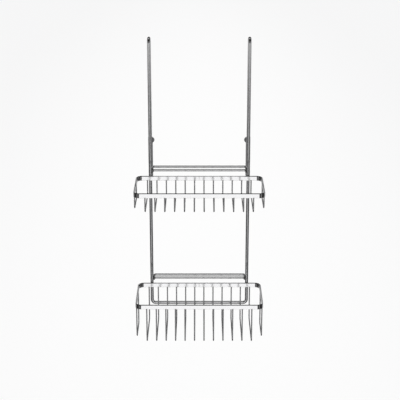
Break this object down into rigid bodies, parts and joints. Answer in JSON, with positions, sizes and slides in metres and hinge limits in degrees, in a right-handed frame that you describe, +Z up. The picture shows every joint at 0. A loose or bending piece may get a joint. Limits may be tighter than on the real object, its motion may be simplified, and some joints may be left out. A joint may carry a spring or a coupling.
{
  "type": "shower caddy",
  "caption": "Two-tier chrome wire shower caddy that hangs over a glass screen, with deep and shallow baskets and turning lock sleeves.",
  "frame": {"origin": "where the top edge of the screen meets the underside of the hooks, midway between the two hooks and midway across their gap", "axes": "+Z up, +X to the right as the user faces the caddy, +Y away from the user, through the screen"},
  "size_m": [0.27, 0.1515, 0.6285],
  "materials": {
    "frame_chrome": "bright chrome plate on bent steel rod",
    "rim_chrome": "bright chrome plate on flat steel bar",
    "guard_chrome": "bright chrome plate on steel rod",
    "wire_chrome": "bright chrome plate on steel wire",
    "stop_sleeve": "soft grey plastic, satin"
  },
  "bodies": {
    "rack": {"frame_rod": "frame_chrome", "lower_guard_bar": "guard_chrome", "lower_guard_rail": "guard_chrome", "lower_left_end_wire": "wire_chrome", "lower_right_end_wire": "wire_chrome", "lower_rim": "rim_chrome", "lower_wire_01": "wire_chrome", "lower_wire_02": "wire_chrome", "lower_wire_03": "wire_chrome", "lower_wire_04": "wire_chrome", "lower_wire_05": "wire_chrome", "lower_wire_06": "wire_chrome", "lower_wire_07": "wire_chrome", "lower_wire_08": "wire_chrome", "lower_wire_09": "wire_chrome", "lower_wire_10": "wire_chrome", "lower_wire_11": "wire_chrome", "lower_wire_12": "wire_chrome", "upper_guard_bar": "guard_chrome", "upper_guard_rail": "guard_chrome", "upper_left_end_wire": "wire_chrome", "upper_right_end_wire": "wire_chrome", "upper_rim": "rim_chrome", "upper_wire_01": "wire_chrome", "upper_wire_02": "wire_chrome", "upper_wire_03": "wire_chrome", "upper_wire_04": "wire_chrome", "upper_wire_05": "wire_chrome", "upper_wire_06": "wire_chrome", "upper_wire_07": "wire_chrome", "upper_wire_08": "wire_chrome", "upper_wire_09": "wire_chrome", "upper_wire_10": "wire_chrome", "upper_wire_11": "wire_chrome", "upper_wire_12": "wire_chrome"},
    "left_sleeve": {"left_lock_sleeve": "stop_sleeve"},
    "right_sleeve": {"right_lock_sleeve": "stop_sleeve"}
  },
  "joints": [
    {"name": "left_lock_turn", "type": "hinge", "parent": "rack", "child": "left_sleeve", "pos_m": [-0.1044, 0.01, -0.254], "axis": [0, 0, 1], "range_deg": [-90, 0]},
    {"name": "right_lock_turn", "type": "hinge", "parent": "rack", "child": "right_sleeve", "pos_m": [0.1044, 0.01, -0.254], "axis": [0, 0, 1], "range_deg": [0, 90]}
  ]
}
